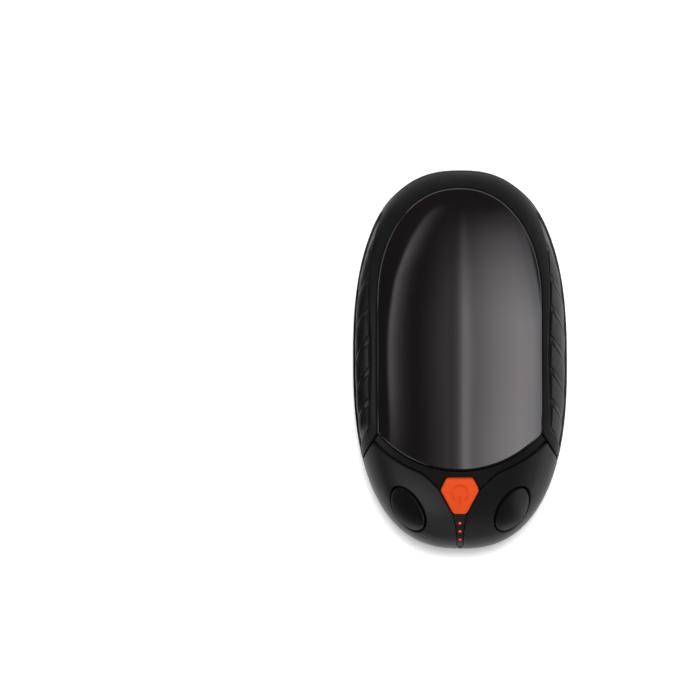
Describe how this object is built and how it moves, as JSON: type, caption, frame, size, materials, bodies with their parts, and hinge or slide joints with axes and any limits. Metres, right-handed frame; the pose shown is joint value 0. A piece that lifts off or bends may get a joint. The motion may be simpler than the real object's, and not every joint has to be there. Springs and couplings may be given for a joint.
{
  "type": "rechargeable hand warmer",
  "caption": "Pebble-shaped pocket hand warmer with a domed warm panel, rubber side grips, a six-sided power button and a stepped magnetic back that mates with a second unit.",
  "frame": {"origin": "middle of the flat back face", "axes": "+Z out through the warm panel, +Y along the length away from the button end, +X to the right seen from the front with +Y up"},
  "size_m": [0.0564, 0.0993, 0.0261],
  "materials": {
    "shell": "satin soft-touch black moulding",
    "warm_panel": "smooth satin-gloss black coating on a thin metal dome",
    "accent": "polished black",
    "grip": "matte black rubber",
    "button": "satin orange moulding with an engraved power mark",
    "light_window": "dark tinted window",
    "light_clear": "clear pin glowing red",
    "lamp": "white lamp package",
    "flex": "amber flexible circuit",
    "tray": "plain dark moulding",
    "steel": "zinc-plated",
    "magnet": "nickel-plated",
    "pouch": "silver pouch film",
    "foam": "closed-cell foam",
    "heater": "amber heater film",
    "board": "green circuit board",
    "chip": "moulded chip package",
    "wire": "soft wire insulation",
    "socket": "ivory connector"
  },
  "bodies": {
    "case": {"front_frame": "shell", "heat_panel": "warm_panel", "cheek_right": "shell", "cheek_left": "shell", "eye_accent_right": "accent", "eye_accent_left": "accent", "grip_right": "grip", "grip_left": "grip", "light_strip": "light_window", "light_pins": "light_clear", "status_leds": "lamp", "led_flex": "flex", "back_cover": "shell", "magnets": "magnet", "inner_tray": "tray", "tray_screws": "steel", "battery_pad": "foam", "battery_cell": "pouch", "battery_leads": "wire", "heater_film": "heater", "insulation_pad": "foam", "thermistor": "chip", "heater_leads": "wire", "main_board": "board", "board_screws": "steel", "switch_body": "chip", "battery_socket": "socket", "controller_chip": "chip", "charge_chip": "chip", "power_inductor": "chip", "usb_receptacle": "steel", "usb_tongue": "chip"},
    "button": {"power_button": "button", "switch_plunger": "socket"}
  },
  "joints": [
    {"name": "power_press", "type": "slide", "parent": "case", "child": "button", "axis": [0, 0, -1], "range_m": [0, 0.0005], "stiffness_N_per_m": 1500, "springref_m": -0.0003}
  ]
}
